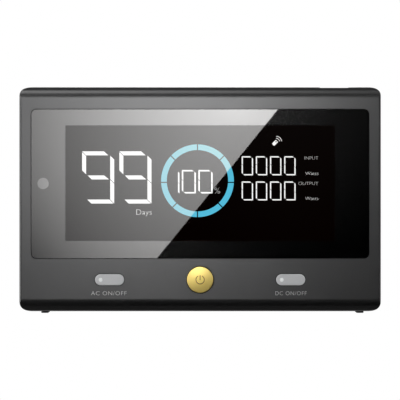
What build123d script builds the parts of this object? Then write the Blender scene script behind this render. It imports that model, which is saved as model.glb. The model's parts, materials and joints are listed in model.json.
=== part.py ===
from build123d import *

import os

# Remote display and control panel for a portable power station, in millimetres.
# +X runs to the right and +Z up as the user faces it. The front faces -Y.
# The origin is under the middle of the panel, level with the soles of its feet.

os.makedirs("parts", exist_ok=True)

# Overall size
width = 165.0
height = 103.2
depth = 36.0
foot_proud = 0.8
button_proud = 0.8

# Depths of the main planes, front to back
front = -depth / 2 + button_proud
back = depth / 2
front_wall = 2.4
inner_front = front + front_wall
seam = front + 11.0
back_wall = 2.4
inner_back = back - back_wall
wall = 2.2
boss_root = 0.3

# Body outline and edge rounding
body_bottom = foot_proud
body_top = height
corner_run = 6.5
top_corner_drop = 4.2
bottom_corner_rise = 4.8
front_top_round = 5.0
front_bottom_round = 5.7
front_side_round = 0.9
back_round = 3.0
cavity_round = 3.0
seam_reveal = 0.4
seal_outer_inset = 0.75
seal_inner_inset = 1.55
seal_depth = 0.9

# Cover lens, set flush in a recess
lens_width = 154.3
lens_height = 68.1
lens_z = 59.05
lens_round = 2.3
lens_gap = 0.22
lens_thickness = 1.1
lens_sunk = 0.05
print_gap = 0.02
print_thickness = 0.05
tape_thickness = 0.15
lens_back = front + lens_sunk + lens_thickness
print_front = lens_back + print_gap
print_back = print_front + print_thickness
recess_floor = print_back + tape_thickness

# Display: what shows through the border, and the glass behind it
view_width = 123.0
view_height = 52.8
view_z = 59.35
window_margin = 2.6
glass_width = 130.0
glass_height = 58.6
frame_wall = 1.4

# Sensor windows in the lens border
sensor_spots = [(-71.7, 59.2), (70.9, 59.2)]
sensor_window_diameter = 5.2
sensor_pipe_diameter = 4.2

# Buttons
button_z = 15.24
button_travel = 0.5
power_diameter = 11.9
power_gap = 0.45
power_crown = 0.3
power_bevel = (0.2, 0.15)
cap_thickness = 2.4
sign_radius = 1.9
sign_stroke = 0.45
sign_opening = 1.7
sign_bar = 2.3
sign_depth = 0.35
pill_x = 41.35
pill_length = 13.3
pill_height = 5.1
pill_gap = 0.4
pill_proud = 0.55
lamp_offset = -4.1
lamp_diameter = 1.6
skirt_overlap = 0.9
skirt_thickness = 1.0
skirt_clearance = 0.1
skirt_front = inner_front + skirt_clearance
skirt_back = skirt_front + skirt_thickness
stem_diameter = 4.0

# Main board and the switches on its front
board_front = front + 10.2
board_thickness = 1.6
board_back = board_front + board_thickness
board_half_width = 76.0
board_low = 8.5
board_high = 92.6
board_notch = (6.0, 4.0)
switch_side = 6.2
switch_height = 3.6
switch_front = board_front - switch_height
plunger_diameter = 3.4
plunger_proud = 1.2
plunger_front = switch_front - plunger_proud
lamp_height = 1.0

# Screws and their bosses
board_screw_spots = [(-73, 89), (73, 89), (-73, 27), (73, 27), (-20.5, 12), (20.5, 12)]
case_screw_spots = [(-75.6, 96.7), (75.6, 96.7), (-75.6, 7.4), (75.6, 7.4)]
board_screw_diameter = 2.5
board_screw_length = 7.0
board_screw_head = (4.6, 1.6)
board_boss_diameter = 5.4
case_screw_diameter = 3.0
case_screw_length = 17.5
case_screw_head = (5.0, 2.0)
case_screw_hole = 3.4
case_boss_diameter = 6.6
insert_diameter = 4.2
insert_length = 5.5
screw_well_diameter = 5.2
screw_well_depth = 12.0

# Socket for the communication cable, entered from the top
port_x = 61.3
port_width = 11.9
port_low_y = -1.6
port_high_y = 5.3
latch_width = 6.4
latch_height = 1.7
port_depth = 14.5
jack_half_width = 7.9
jack_back_y = 8.2
jack_bottom = 84.0
jack_top = body_top - wall - 0.1
port_mouth_gap = 0.4
port_recess_width = 13.3
port_recess_depth = 0.3
contact_count = 8
contact_pitch = 1.02
contact_thickness = 0.4

# Feet and wall hooks
foot_diameter = 3.4
foot_spots_x = (-71.0, 73.1)
front_foot_y = -9.1
back_foot_y = 12.6
foot_sink = 0.8
keyhole_x = 36.0
keyhole_z = 70.0
keyhole_entry_radius = 4.2
keyhole_slot_radius = 2.2
keyhole_rise = 8.0
label_size = (58.0, 24.0)
label_z = 34.0
label_thickness = 0.15
label_sunk = 0.05
label_round = 1.7
label_clearance = 0.3


def facing(y):
    """Sketch plane parallel to the front at depth y. A negative extrusion goes backwards."""
    return Plane.XZ.offset(-y)


def body_outline(y, inset=0.0, hollow=None):
    """The body as seen from the front, pulled in all round by inset. hollow makes it a ring."""
    with BuildSketch(facing(y)) as outline:
        for pulled_in, mode in ((inset, Mode.ADD), (hollow, Mode.SUBTRACT)):
            if pulled_in is None:
                continue
            side = width / 2 - pulled_in
            top = body_top - pulled_in
            bottom = body_bottom + pulled_in
            turn = side - corner_run
            with BuildLine():
                Line((0, top), (turn, top))
                Bezier((turn, top), (side - 2.6, top), (side, top - 0.9), (side, top - top_corner_drop))
                Line((side, top - top_corner_drop), (side, bottom + bottom_corner_rise))
                Bezier(
                    (side, bottom + bottom_corner_rise),
                    (side, bottom + 1.0),
                    (side - 2.6, bottom),
                    (turn, bottom),
                )
                Line((turn, bottom), (0, bottom))
                mirror(about=Plane.YZ)
            make_face(mode=mode)
    return outline.sketch


def side_profile():
    """The body as seen from the side, with its front and back edges rounded."""
    with BuildSketch(Plane.YZ) as profile:
        with Locations(((front + back) / 2, (body_bottom + body_top) / 2)):
            Rectangle(back - front, body_top - body_bottom)
        fillet(profile.vertices().group_by(Axis.X)[0].sort_by(Axis.Y)[-1], front_top_round)
        fillet(profile.vertices().group_by(Axis.X)[0].sort_by(Axis.Y)[0], front_bottom_round)
        fillet(profile.vertices().group_by(Axis.X)[-1], back_round)
    return profile.sketch


def plan_profile():
    """The body as seen from above, with its upright edges rounded."""
    with BuildSketch() as profile:
        with Locations((0, (front + back) / 2)):
            Rectangle(width, back - front)
        fillet(profile.vertices().group_by(Axis.Y)[0], front_side_round)
        fillet(profile.vertices().group_by(Axis.Y)[-1], back_round)
    return profile.sketch


def cavity_profile():
    """The hollow inside both shells, as seen from the side."""
    with BuildSketch(Plane.YZ) as profile:
        with Locations(((inner_front + inner_back) / 2, (body_bottom + body_top) / 2)):
            Rectangle(inner_back - inner_front, body_top - body_bottom - 2 * wall)
        fillet(profile.vertices(), cavity_round)
    return profile.sketch


def port_groove():
    """The shallow groove across the top, over the cable socket."""
    with BuildSketch(Plane.XY.offset(body_top - port_recess_depth)) as groove:
        with Locations((port_x, (front + back) / 2)):
            Rectangle(port_recess_width, back - front)
    return groove.sketch


def plate(size, center, y_from, y_to, corner=0.0, hole=None, hole_center=None):
    """A flat plate parallel to the front, between two depths, with an optional opening."""
    with BuildPart() as flat:
        with BuildSketch(facing(y_from)):
            with Locations(center):
                if corner:
                    RectangleRounded(size[0], size[1], corner)
                else:
                    Rectangle(size[0], size[1])
            if hole:
                with Locations(hole_center or center):
                    Rectangle(hole[0], hole[1], mode=Mode.SUBTRACT)
        extrude(amount=y_from - y_to)
    return flat


def blocks(size, spots, y_from, y_to):
    """Equal rectangular blocks at each (x, z) spot, between two depths."""
    with BuildPart() as group:
        with BuildSketch(facing(y_from)):
            with Locations(*spots):
                Rectangle(size[0], size[1])
        extrude(amount=y_from - y_to)
    return group


def discs(spots, diameter, y_from, y_to, bore=0.0):
    """Round pins or tubes at each (x, z) spot, between two depths."""
    with BuildPart() as group:
        with BuildSketch(facing(y_from)):
            with Locations(*spots):
                Circle(diameter / 2)
                if bore:
                    Circle(bore / 2, mode=Mode.SUBTRACT)
        extrude(amount=y_from - y_to)
    return group


def screws(spots, shank, head, head_y, head_height, length):
    """Pan-head screws driven forwards from head_y, with a cross recess in each head."""
    with BuildPart() as group:
        with BuildSketch(facing(head_y)):
            with Locations(*spots):
                Circle(head / 2)
        extrude(amount=-head_height)
        with BuildSketch(facing(head_y)):
            with Locations(*spots):
                Circle(shank / 2)
        extrude(amount=length)
        with BuildSketch(facing(head_y + head_height)):
            with Locations(*spots):
                Rectangle(head * 0.55, head * 0.14)
                Rectangle(head * 0.14, head * 0.55)
        extrude(amount=head_height * 0.6, mode=Mode.SUBTRACT)
    return group


def feet(y):
    """Round rubber feet pressed into the underside at depth y."""
    with BuildPart() as group:
        with BuildSketch():
            with Locations(*[(x, y) for x in foot_spots_x]):
                Circle(foot_diameter / 2)
        extrude(amount=foot_proud + foot_sink)
        fillet(group.edges().filter_by(GeomType.CIRCLE).group_by(Axis.Z)[0], 0.3)
    return group


def foot_sockets(y):
    """Footprints of the sockets that hold the feet at depth y."""
    with BuildSketch(Plane.XY.offset(body_bottom)) as sockets:
        with Locations(*[(x, y) for x in foot_spots_x]):
            Circle(foot_diameter / 2)
    return sockets.sketch


# ---------------------------------------------------------------- shells

with BuildPart() as front_shell:
    extrude(body_outline(front), amount=front - seam)
    extrude(side_profile(), amount=width / 2, both=True, mode=Mode.INTERSECT)
    extrude(plan_profile(), amount=body_top, mode=Mode.INTERSECT)
    extrude(cavity_profile(), amount=width / 2 - wall, both=True, mode=Mode.SUBTRACT)
    extrude(body_outline(seam, seal_outer_inset, seal_inner_inset), amount=seal_depth, mode=Mode.SUBTRACT)
    # Bosses for the board and for the case screws
    with BuildSketch(facing(inner_front - boss_root)):
        with Locations(*board_screw_spots):
            Circle(board_boss_diameter / 2)
    extrude(amount=inner_front - boss_root - board_front)
    with BuildSketch(facing(inner_front - boss_root)):
        with Locations(*case_screw_spots):
            Circle(case_boss_diameter / 2)
    extrude(amount=inner_front - boss_root - seam)
    with BuildSketch(facing(board_front)):
        with Locations(*board_screw_spots):
            Circle(board_screw_diameter / 2)
    extrude(amount=board_screw_length - board_thickness + 0.5, mode=Mode.SUBTRACT)
    with BuildSketch(facing(seam)):
        with Locations(*case_screw_spots):
            Circle(insert_diameter / 2)
    extrude(amount=7.0, mode=Mode.SUBTRACT)
    # Recess for the cover lens, and the display opening in its floor
    with BuildSketch(facing(front)):
        with Locations((0, lens_z)):
            RectangleRounded(
                lens_width + 2 * lens_gap,
                lens_height + 2 * lens_gap,
                lens_round + lens_gap,
            )
    extrude(amount=front - recess_floor, mode=Mode.SUBTRACT)
    with BuildSketch(facing(recess_floor)):
        with Locations((0, view_z)):
            Rectangle(view_width + window_margin, view_height + window_margin)
        with Locations(*sensor_spots):
            Circle(sensor_pipe_diameter / 2 + 0.05)
    extrude(amount=-front_wall, mode=Mode.SUBTRACT)
    # Button openings
    with BuildSketch(facing(front)):
        with Locations((0, button_z)):
            Circle(power_diameter / 2 + power_gap)
        with Locations((-pill_x, button_z), (pill_x, button_z)):
            SlotOverall(pill_length + 2 * pill_gap, pill_height + 2 * pill_gap)
    extrude(amount=-2 * front_wall, mode=Mode.SUBTRACT)
    extrude(port_groove(), amount=port_recess_depth, mode=Mode.SUBTRACT)
    extrude(foot_sockets(front_foot_y), amount=foot_sink, mode=Mode.SUBTRACT)

with BuildPart() as rear_shell:
    # The first stretch behind the seam is stepped in, which leaves a fine line round the case
    extrude(body_outline(seam, seam_reveal), amount=-2 * seam_reveal)
    extrude(body_outline(seam + seam_reveal), amount=seam + seam_reveal - back)
    extrude(side_profile(), amount=width / 2, both=True, mode=Mode.INTERSECT)
    extrude(plan_profile(), amount=body_top, mode=Mode.INTERSECT)
    extrude(cavity_profile(), amount=width / 2 - wall, both=True, mode=Mode.SUBTRACT)
    # Screw posts, with a well for each screw's head
    with BuildSketch(facing(seam)):
        with Locations(*case_screw_spots):
            Circle(case_boss_diameter / 2)
    extrude(amount=seam - inner_back - boss_root)
    with BuildSketch(facing(seam)):
        with Locations(*case_screw_spots):
            Circle(case_screw_hole / 2)
    extrude(amount=seam - back, mode=Mode.SUBTRACT)
    with BuildSketch(facing(back)):
        with Locations(*case_screw_spots):
            Circle(screw_well_diameter / 2)
    extrude(amount=screw_well_depth, mode=Mode.SUBTRACT)
    # Mouth of the cable socket
    with BuildSketch(Plane.XY.offset(body_top)):
        with Locations((port_x, (port_low_y + port_high_y + latch_height) / 2)):
            Rectangle(
                port_width + 2 * port_mouth_gap,
                port_high_y - port_low_y + latch_height + 2 * port_mouth_gap,
            )
    extrude(amount=-2 * wall, mode=Mode.SUBTRACT)
    extrude(port_groove(), amount=port_recess_depth, mode=Mode.SUBTRACT)
    # Keyholes for hanging the panel on two wall screws
    with BuildSketch(facing(back)):
        with Locations((-keyhole_x, keyhole_z), (keyhole_x, keyhole_z)):
            Circle(keyhole_entry_radius)
        with Locations((-keyhole_x, keyhole_z + keyhole_rise / 2), (keyhole_x, keyhole_z + keyhole_rise / 2)):
            SlotOverall(keyhole_rise + 2 * keyhole_slot_radius, 2 * keyhole_slot_radius, rotation=90)
    extrude(amount=2 * back_wall, mode=Mode.SUBTRACT)
    with BuildSketch(facing(back)):
        with Locations((0, label_z)):
            RectangleRounded(
                label_size[0] + 2 * label_clearance,
                label_size[1] + 2 * label_clearance,
                label_round + label_clearance,
            )
    extrude(amount=label_thickness + label_sunk, mode=Mode.SUBTRACT)
    extrude(foot_sockets(back_foot_y), amount=foot_sink, mode=Mode.SUBTRACT)

with BuildPart() as case_seal:
    extrude(body_outline(seam, seal_outer_inset, seal_inner_inset), amount=seal_depth)

case_inserts = discs(case_screw_spots, insert_diameter, seam - insert_length, seam, case_screw_diameter)
case_screws = screws(
    case_screw_spots, case_screw_diameter, case_screw_head[0],
    back - screw_well_depth, case_screw_head[1], case_screw_length,
)
label_back = back - label_sunk
rating_label = plate(label_size, (0, label_z), label_back - label_thickness, label_back, corner=label_round)
front_feet = feet(front_foot_y)
back_feet = feet(back_foot_y)

# ---------------------------------------------------------------- cover lens

lens_center = (0, lens_z)
view_center = (0, view_z)
lens_size = (lens_width, lens_height)

cover_lens = plate(lens_size, lens_center, front + lens_sunk, lens_back, corner=lens_round)

with BuildPart() as lens_border_print:
    with BuildSketch(facing(print_front)):
        with Locations(lens_center):
            RectangleRounded(lens_width - 0.2, lens_height - 0.2, lens_round)
        with Locations(view_center):
            Rectangle(view_width, view_height, mode=Mode.SUBTRACT)
        with Locations(*sensor_spots):
            Circle(sensor_window_diameter / 2, mode=Mode.SUBTRACT)
    extrude(amount=print_front - print_back)

sensor_windows = discs(sensor_spots, sensor_window_diameter, print_front, print_back)

with BuildPart() as lens_tape:
    with BuildSketch(facing(print_back)):
        with Locations(lens_center):
            RectangleRounded(lens_width - 1.0, lens_height - 1.0, lens_round)
        with Locations(view_center):
            Rectangle(view_width + 4.0, view_height + 4.0, mode=Mode.SUBTRACT)
        with Locations(*sensor_spots):
            Circle(sensor_window_diameter / 2 + 0.3, mode=Mode.SUBTRACT)
    extrude(amount=print_back - recess_floor)

# ---------------------------------------------------------------- display, front to back

gasket_back = inner_front + 0.3
front_polariser_back = gasket_back + 0.2
front_glass_back = front_polariser_back + 0.7
rear_glass_back = front_glass_back + 0.7
rear_polariser_back = rear_glass_back + 0.2
diffuser_back = rear_polariser_back + 0.3
guide_back = diffuser_back + 2.2
reflector_back = guide_back + 0.2
frame_back = reflector_back + 0.7
glass_size = (glass_width, glass_height)
film_size = (glass_width - 2.0, glass_height - 2.0)
led_strip_depth = 1.6

display_gasket = plate(
    (glass_width, glass_height), view_center, inner_front, gasket_back,
    hole=(view_width + window_margin, view_height + window_margin),
)
front_polariser = plate(film_size, view_center, gasket_back, front_polariser_back)
display_front_glass = plate(glass_size, view_center, front_polariser_back, front_glass_back)
display_rear_glass = plate(glass_size, view_center, front_glass_back, rear_glass_back)
rear_polariser = plate(film_size, view_center, rear_glass_back, rear_polariser_back)
diffuser_sheet = plate(film_size, view_center, rear_polariser_back, diffuser_back)

guide_width = glass_width - led_strip_depth - 0.4
light_guide = plate(
    (guide_width, glass_height),
    (led_strip_depth / 2 + 0.2, view_z),
    diffuser_back,
    guide_back,
)
reflector_sheet = plate(glass_size, view_center, guide_back, reflector_back)

# Backlight strip along the left end of the light guide
strip_x = -glass_width / 2 + 0.4
led_rows = [view_z + (row - 3.5) * 6.8 for row in range(8)]
led_strip = plate((0.8, glass_height - 2.0), (strip_x, view_z), diffuser_back, guide_back)
strip_leds = blocks((0.9, 3.0), [(strip_x + 0.85, z) for z in led_rows], diffuser_back + 0.3, guide_back - 0.3)

ribbon_width = 24.0
ribbon_z = view_z - glass_height / 2
with BuildPart() as display_frame:
    with BuildSketch(facing(inner_front + 0.1)):
        with Locations(view_center):
            Rectangle(glass_width + 0.2 + 2 * frame_wall, glass_height + 0.2 + 2 * frame_wall)
    extrude(amount=inner_front + 0.1 - frame_back)
    with BuildSketch(facing(inner_front + 0.1)):
        with Locations(view_center):
            Rectangle(glass_width + 0.2, glass_height + 0.2)
    extrude(amount=inner_front + 0.1 - reflector_back, mode=Mode.SUBTRACT)
    with BuildSketch(facing(frame_back)):
        with GridLocations(110, 44, 2, 2):
            with Locations((0, view_z)):
                Circle(2.0)
    extrude(amount=frame_back - board_front)
    with BuildSketch(facing(front_glass_back)):
        with Locations((0, ribbon_z - frame_wall / 2)):
            Rectangle(ribbon_width + 1.0, frame_wall + 1.0)
    extrude(amount=-1.2, mode=Mode.SUBTRACT)

# Flexible ribbon from the lower edge of the rear glass down to the board
ribbon_thickness = 0.2
ribbon_y = front_glass_back + 0.4
with BuildPart() as display_ribbon:
    with BuildSketch(Plane.YZ):
        with BuildLine():
            Polyline(
                (ribbon_y, ribbon_z),
                (ribbon_y, ribbon_z - 3.0),
                (ribbon_y + 1.2, ribbon_z - 4.2),
                (board_front - 1.8, ribbon_z - 4.2),
                (board_front - 1.8, ribbon_z - 4.2 - ribbon_thickness),
                (ribbon_y + 1.1, ribbon_z - 4.2 - ribbon_thickness),
                (ribbon_y - ribbon_thickness, ribbon_z - 3.1),
                (ribbon_y - ribbon_thickness, ribbon_z),
                close=True,
            )
        make_face()
    extrude(amount=ribbon_width / 2, both=True)

ribbon_connector = plate(
    (ribbon_width + 2.0, 2.6), (0, ribbon_z - 4.2 - ribbon_thickness / 2), board_front - 1.8, board_front,
)

# ---------------------------------------------------------------- main board

with BuildPart() as main_board:
    with BuildSketch(facing(board_front)):
        with Locations((0, (board_low + board_high) / 2)):
            Rectangle(2 * board_half_width, board_high - board_low)
        notch_x = board_half_width - board_notch[0] / 2
        notch_z = board_low + board_notch[1] / 2
        with Locations((-notch_x, notch_z), (notch_x, notch_z)):
            Rectangle(*board_notch, mode=Mode.SUBTRACT)
        with Locations(*board_screw_spots):
            Circle(board_screw_diameter / 2, mode=Mode.SUBTRACT)
    extrude(amount=-board_thickness)

board_screws = screws(
    board_screw_spots, board_screw_diameter, board_screw_head[0],
    board_back, board_screw_head[1], board_screw_length,
)
light_sensors = blocks((3.0, 3.0), sensor_spots, board_front - 1.2, board_front)
sensor_light_pipes = discs(sensor_spots, sensor_pipe_diameter, recess_floor, board_front - 1.2)

processor_chip = plate((12, 12), (-18, 62), board_back, board_back + 1.2)
display_driver_chip = plate((14, 14), (12, 40), board_back, board_back + 1.4)
memory_chip = plate((5.2, 5.2), (-34, 60), board_back, board_back + 1.5)
clock_crystal = plate((5.0, 3.2), (-18, 50), board_back, board_back + 1.0, corner=1.2)
radio_board = plate((18, 26), (-58, 76), board_back, board_back + 0.8)
radio_shield = plate((16, 17), (-58, 72.5), board_back + 0.8, board_back + 3.0)
power_inductor = plate((8, 8), (52, 66), board_back, board_back + 4.5, corner=1.5)
regulator_chip = plate((6.5, 6.1), (52, 54), board_back, board_back + 2.3)
capacitors = discs([(62, 66), (62, 57), (50, 42)], 6.3, board_back, board_back + 7.7)
buzzer = discs([(-50, 30)], 9.0, board_back, board_back + 5.0, bore=1.6)
small_part_spots = [(x, z) for x in range(-30, 31, 6) for z in (22, 26, 76, 80)]
small_board_parts = blocks((1.6, 0.8), small_part_spots, board_back, board_back + 0.6)

# ---------------------------------------------------------------- cable socket

contact_spots = [
    port_x + (place - (contact_count - 1) / 2) * contact_pitch for place in range(contact_count)
]


def contact_wires(top):
    """Cross-sections of the contact wires at the height of their tops."""
    with BuildSketch(Plane.XY.offset(top)) as wires:
        with Locations(*[(x, port_low_y - contact_thickness / 2) for x in contact_spots]):
            Rectangle(contact_thickness, contact_thickness)
    return wires.sketch


# The block on the board that holds the wires, and the housing that wraps the plug behind it
with BuildPart() as port_contact_block:
    with BuildSketch(Plane.XY.offset(jack_bottom)):
        with Locations((port_x, (board_back + port_low_y) / 2)):
            Rectangle(2 * jack_half_width, port_low_y - board_back)
    extrude(amount=jack_top - jack_bottom)
    extrude(contact_wires(jack_top - 2.0), amount=2.0 - port_depth, mode=Mode.SUBTRACT)

with BuildPart() as port_housing:
    with BuildSketch(Plane.XY.offset(jack_bottom)):
        with Locations((port_x, (port_low_y + jack_back_y) / 2)):
            Rectangle(2 * jack_half_width, jack_back_y - port_low_y)
    extrude(amount=jack_top - jack_bottom)
    with BuildSketch(Plane.XY.offset(jack_top)):
        with Locations((port_x, (port_low_y + port_high_y) / 2)):
            Rectangle(port_width, port_high_y - port_low_y)
        with Locations((port_x, port_high_y + latch_height / 2)):
            Rectangle(latch_width, latch_height)
    extrude(amount=-port_depth, mode=Mode.SUBTRACT)

with BuildPart() as port_contacts:
    extrude(contact_wires(jack_top - 2.0), amount=2.0 - port_depth)

# ---------------------------------------------------------------- power button

power_center = (0, button_z)
power_radius = power_diameter / 2
crown_top = front - button_proud
crown_edge = crown_top + power_crown
bevel_start = power_radius - power_bevel[0]
power_cap_back = crown_edge + cap_thickness
crown_radius = (bevel_start**2 + power_crown**2) / (2 * power_crown)

# Metal cap: a shallow dome with a fine bevel, and the power sign sunk into it
with BuildPart() as power_button_cap:
    with BuildSketch(Plane.YZ):
        with BuildLine():
            RadiusArc((crown_top, button_z), (crown_edge, button_z + bevel_start), crown_radius)
            Polyline(
                (crown_edge, button_z + bevel_start),
                (crown_edge + power_bevel[1], button_z + power_radius),
                (power_cap_back, button_z + power_radius),
                (power_cap_back, button_z),
                (crown_top, button_z),
            )
        make_face()
    revolve(axis=Axis((0, 0, button_z), (0, 1, 0)))
    with BuildSketch(facing(crown_top)):
        with Locations(power_center):
            Circle(sign_radius + sign_stroke / 2)
            Circle(sign_radius - sign_stroke / 2, mode=Mode.SUBTRACT)
        with Locations((0, button_z + sign_radius)):
            Rectangle(sign_opening, 4 * sign_stroke, mode=Mode.SUBTRACT)
        with Locations((0, button_z + sign_radius / 2)):
            Rectangle(sign_stroke, sign_bar)
    extrude(amount=-sign_depth, mode=Mode.SUBTRACT)

with BuildPart() as power_button_carrier:
    with BuildSketch(facing(power_cap_back)):
        with Locations(power_center):
            Circle(power_radius - 0.25)
    extrude(amount=power_cap_back - skirt_back)
    with BuildSketch(facing(skirt_front)):
        with Locations(power_center):
            Circle(power_radius + power_gap + skirt_overlap)
    extrude(amount=skirt_front - skirt_back)
    with BuildSketch(facing(skirt_back)):
        with Locations(power_center):
            Circle(stem_diameter / 2)
    extrude(amount=skirt_back - plunger_front)


# ---------------------------------------------------------------- pill buttons and switches

def pill_cap(x):
    """Output button: a pill with a skirt behind the panel, a stem, and a hole for its light pipe."""
    pill_front = front - pill_proud
    with BuildPart() as cap:
        with BuildSketch(facing(pill_front)):
            with Locations((x, button_z)):
                SlotOverall(pill_length, pill_height)
        extrude(amount=pill_front - skirt_back)
        fillet(cap.edges().group_by(Axis.Y)[0], 0.4)
        with BuildSketch(facing(skirt_front)):
            with Locations((x, button_z)):
                SlotOverall(
                    pill_length + 2 * (pill_gap + skirt_overlap),
                    pill_height + 2 * (pill_gap + skirt_overlap),
                )
        extrude(amount=skirt_front - skirt_back)
        with BuildSketch(facing(skirt_back)):
            with Locations((x, button_z)):
                Circle(stem_diameter / 2)
        extrude(amount=skirt_back - plunger_front)
        with BuildSketch(facing(pill_front)):
            with Locations((x + lamp_offset, button_z)):
                Circle(lamp_diameter / 2)
        extrude(amount=-(skirt_back - pill_front), mode=Mode.SUBTRACT)
    return cap


def light_pipe(x):
    """Clear rod that carries the lamp's light to the button's face, level with it."""
    return discs(
        [(x + lamp_offset, button_z)], lamp_diameter, front - pill_proud,
        board_front - lamp_height - button_travel - 0.4,
    )


def switch_body(x):
    """Push switch on the board, with a well for its plunger."""
    with BuildPart() as body:
        with BuildSketch(facing(switch_front)):
            with Locations((x, button_z)):
                Rectangle(switch_side, switch_side)
        extrude(amount=-switch_height)
        fillet(body.edges().filter_by(Axis.Y), 0.5)
        with BuildSketch(facing(switch_front)):
            with Locations((x, button_z)):
                Circle(plunger_diameter / 2 + 0.1)
        extrude(amount=-2.2, mode=Mode.SUBTRACT)
    return body


def switch_plunger(x):
    """The moving part of a push switch."""
    return discs([(x, button_z)], plunger_diameter, plunger_front, switch_front + 1.4)


ac_button_cap = pill_cap(-pill_x)
dc_button_cap = pill_cap(pill_x)
ac_light_pipe = light_pipe(-pill_x)
dc_light_pipe = light_pipe(pill_x)
power_switch_body = switch_body(0)
ac_switch_body = switch_body(-pill_x)
dc_switch_body = switch_body(pill_x)
power_switch_plunger = switch_plunger(0)
ac_switch_plunger = switch_plunger(-pill_x)
dc_switch_plunger = switch_plunger(pill_x)
button_lamps = blocks(
    (1.6, 0.8),
    [(-pill_x + lamp_offset, button_z), (pill_x + lamp_offset, button_z)],
    board_front - lamp_height,
    board_front,
)

# ---------------------------------------------------------------- labels and files

pieces = {
    "front_shell": front_shell,
    "rear_shell": rear_shell,
    "case_seal": case_seal,
    "case_inserts": case_inserts,
    "case_screws": case_screws,
    "rating_label": rating_label,
    "front_feet": front_feet,
    "back_feet": back_feet,
    "cover_lens": cover_lens,
    "lens_border_print": lens_border_print,
    "sensor_windows": sensor_windows,
    "lens_tape": lens_tape,
    "display_gasket": display_gasket,
    "front_polariser": front_polariser,
    "display_front_glass": display_front_glass,
    "display_rear_glass": display_rear_glass,
    "rear_polariser": rear_polariser,
    "diffuser_sheet": diffuser_sheet,
    "light_guide": light_guide,
    "reflector_sheet": reflector_sheet,
    "led_strip": led_strip,
    "strip_leds": strip_leds,
    "display_frame": display_frame,
    "display_ribbon": display_ribbon,
    "ribbon_connector": ribbon_connector,
    "main_board": main_board,
    "board_screws": board_screws,
    "light_sensors": light_sensors,
    "sensor_light_pipes": sensor_light_pipes,
    "processor_chip": processor_chip,
    "display_driver_chip": display_driver_chip,
    "memory_chip": memory_chip,
    "clock_crystal": clock_crystal,
    "radio_board": radio_board,
    "radio_shield": radio_shield,
    "power_inductor": power_inductor,
    "regulator_chip": regulator_chip,
    "capacitors": capacitors,
    "buzzer": buzzer,
    "small_board_parts": small_board_parts,
    "port_housing": port_housing,
    "port_contact_block": port_contact_block,
    "port_contacts": port_contacts,
    "power_button_cap": power_button_cap,
    "power_button_carrier": power_button_carrier,
    "ac_button_cap": ac_button_cap,
    "dc_button_cap": dc_button_cap,
    "ac_light_pipe": ac_light_pipe,
    "dc_light_pipe": dc_light_pipe,
    "power_switch_body": power_switch_body,
    "ac_switch_body": ac_switch_body,
    "dc_switch_body": dc_switch_body,
    "power_switch_plunger": power_switch_plunger,
    "ac_switch_plunger": ac_switch_plunger,
    "dc_switch_plunger": dc_switch_plunger,
    "button_lamps": button_lamps,
}

for name, piece in pieces.items():
    piece.part.label = name
    export_step(piece.part, f"parts/{name}.step")
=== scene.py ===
import json
import math

import bmesh
import bpy
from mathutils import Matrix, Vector


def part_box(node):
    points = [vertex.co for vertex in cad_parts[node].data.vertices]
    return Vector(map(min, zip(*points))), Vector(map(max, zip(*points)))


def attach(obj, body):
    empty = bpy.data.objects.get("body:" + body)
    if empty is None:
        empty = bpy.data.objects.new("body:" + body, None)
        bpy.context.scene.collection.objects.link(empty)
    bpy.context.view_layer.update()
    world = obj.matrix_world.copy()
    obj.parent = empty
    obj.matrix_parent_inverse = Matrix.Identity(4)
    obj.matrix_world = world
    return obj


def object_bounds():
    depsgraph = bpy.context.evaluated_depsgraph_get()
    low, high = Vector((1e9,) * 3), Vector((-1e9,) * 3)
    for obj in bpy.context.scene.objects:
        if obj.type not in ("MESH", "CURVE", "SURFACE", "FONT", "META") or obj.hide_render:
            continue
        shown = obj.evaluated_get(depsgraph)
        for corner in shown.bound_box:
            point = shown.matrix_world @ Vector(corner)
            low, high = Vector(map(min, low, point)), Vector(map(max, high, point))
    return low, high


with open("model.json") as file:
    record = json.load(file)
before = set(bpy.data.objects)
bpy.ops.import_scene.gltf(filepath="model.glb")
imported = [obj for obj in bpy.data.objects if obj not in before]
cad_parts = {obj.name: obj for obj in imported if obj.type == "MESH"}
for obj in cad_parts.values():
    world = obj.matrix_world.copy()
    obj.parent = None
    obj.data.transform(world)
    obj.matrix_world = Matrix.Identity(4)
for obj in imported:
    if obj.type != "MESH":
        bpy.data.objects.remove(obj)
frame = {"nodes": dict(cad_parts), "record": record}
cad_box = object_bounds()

# Looks for a remote display and control panel: the finish of every part, the lit display, the printing
# and the studio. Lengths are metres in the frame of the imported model. MM turns millimetres into metres.

MM = 0.001
nodes = frame["nodes"]
scene = bpy.context.scene

shell_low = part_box("front_shell")[0]
lens_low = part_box("cover_lens")[0]
display_low, display_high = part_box("front_polariser")
front_y = shell_low.y
object_middle = (cad_box[0] + cad_box[1]) / 2
display_middle = (display_low + display_high) / 2

BLACK = (0.0, 0.0, 0.0, 1.0)
WHITE = (1.0, 1.0, 1.0, 1.0)


# ---------------------------------------------------------------- material helpers

# Noise seldom leaves this range
NOISE_RANGE = (0.3, 0.7)

# Share of open air round a point: up to the first value it is shut in, from the second it is open
OPEN_AIR_RANGE = (0.45, 0.85)
# Colour of the painted shade in narrow gaps
GAP_SHADE_BLACK = (0.004, 0.004, 0.004, 1.0)


def remap(tree, value, old, new):
    """The value carried from the range old to the range new, and held inside it. Ranges are pairs."""
    node = tree.nodes.new("ShaderNodeMapRange")
    for socket, number in zip(("From Min", "From Max", "To Min", "To Max"), (*old, *new)):
        node.inputs[socket].default_value = number
    tree.links.new(value, node.inputs["Value"])
    return node.outputs["Result"]


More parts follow.
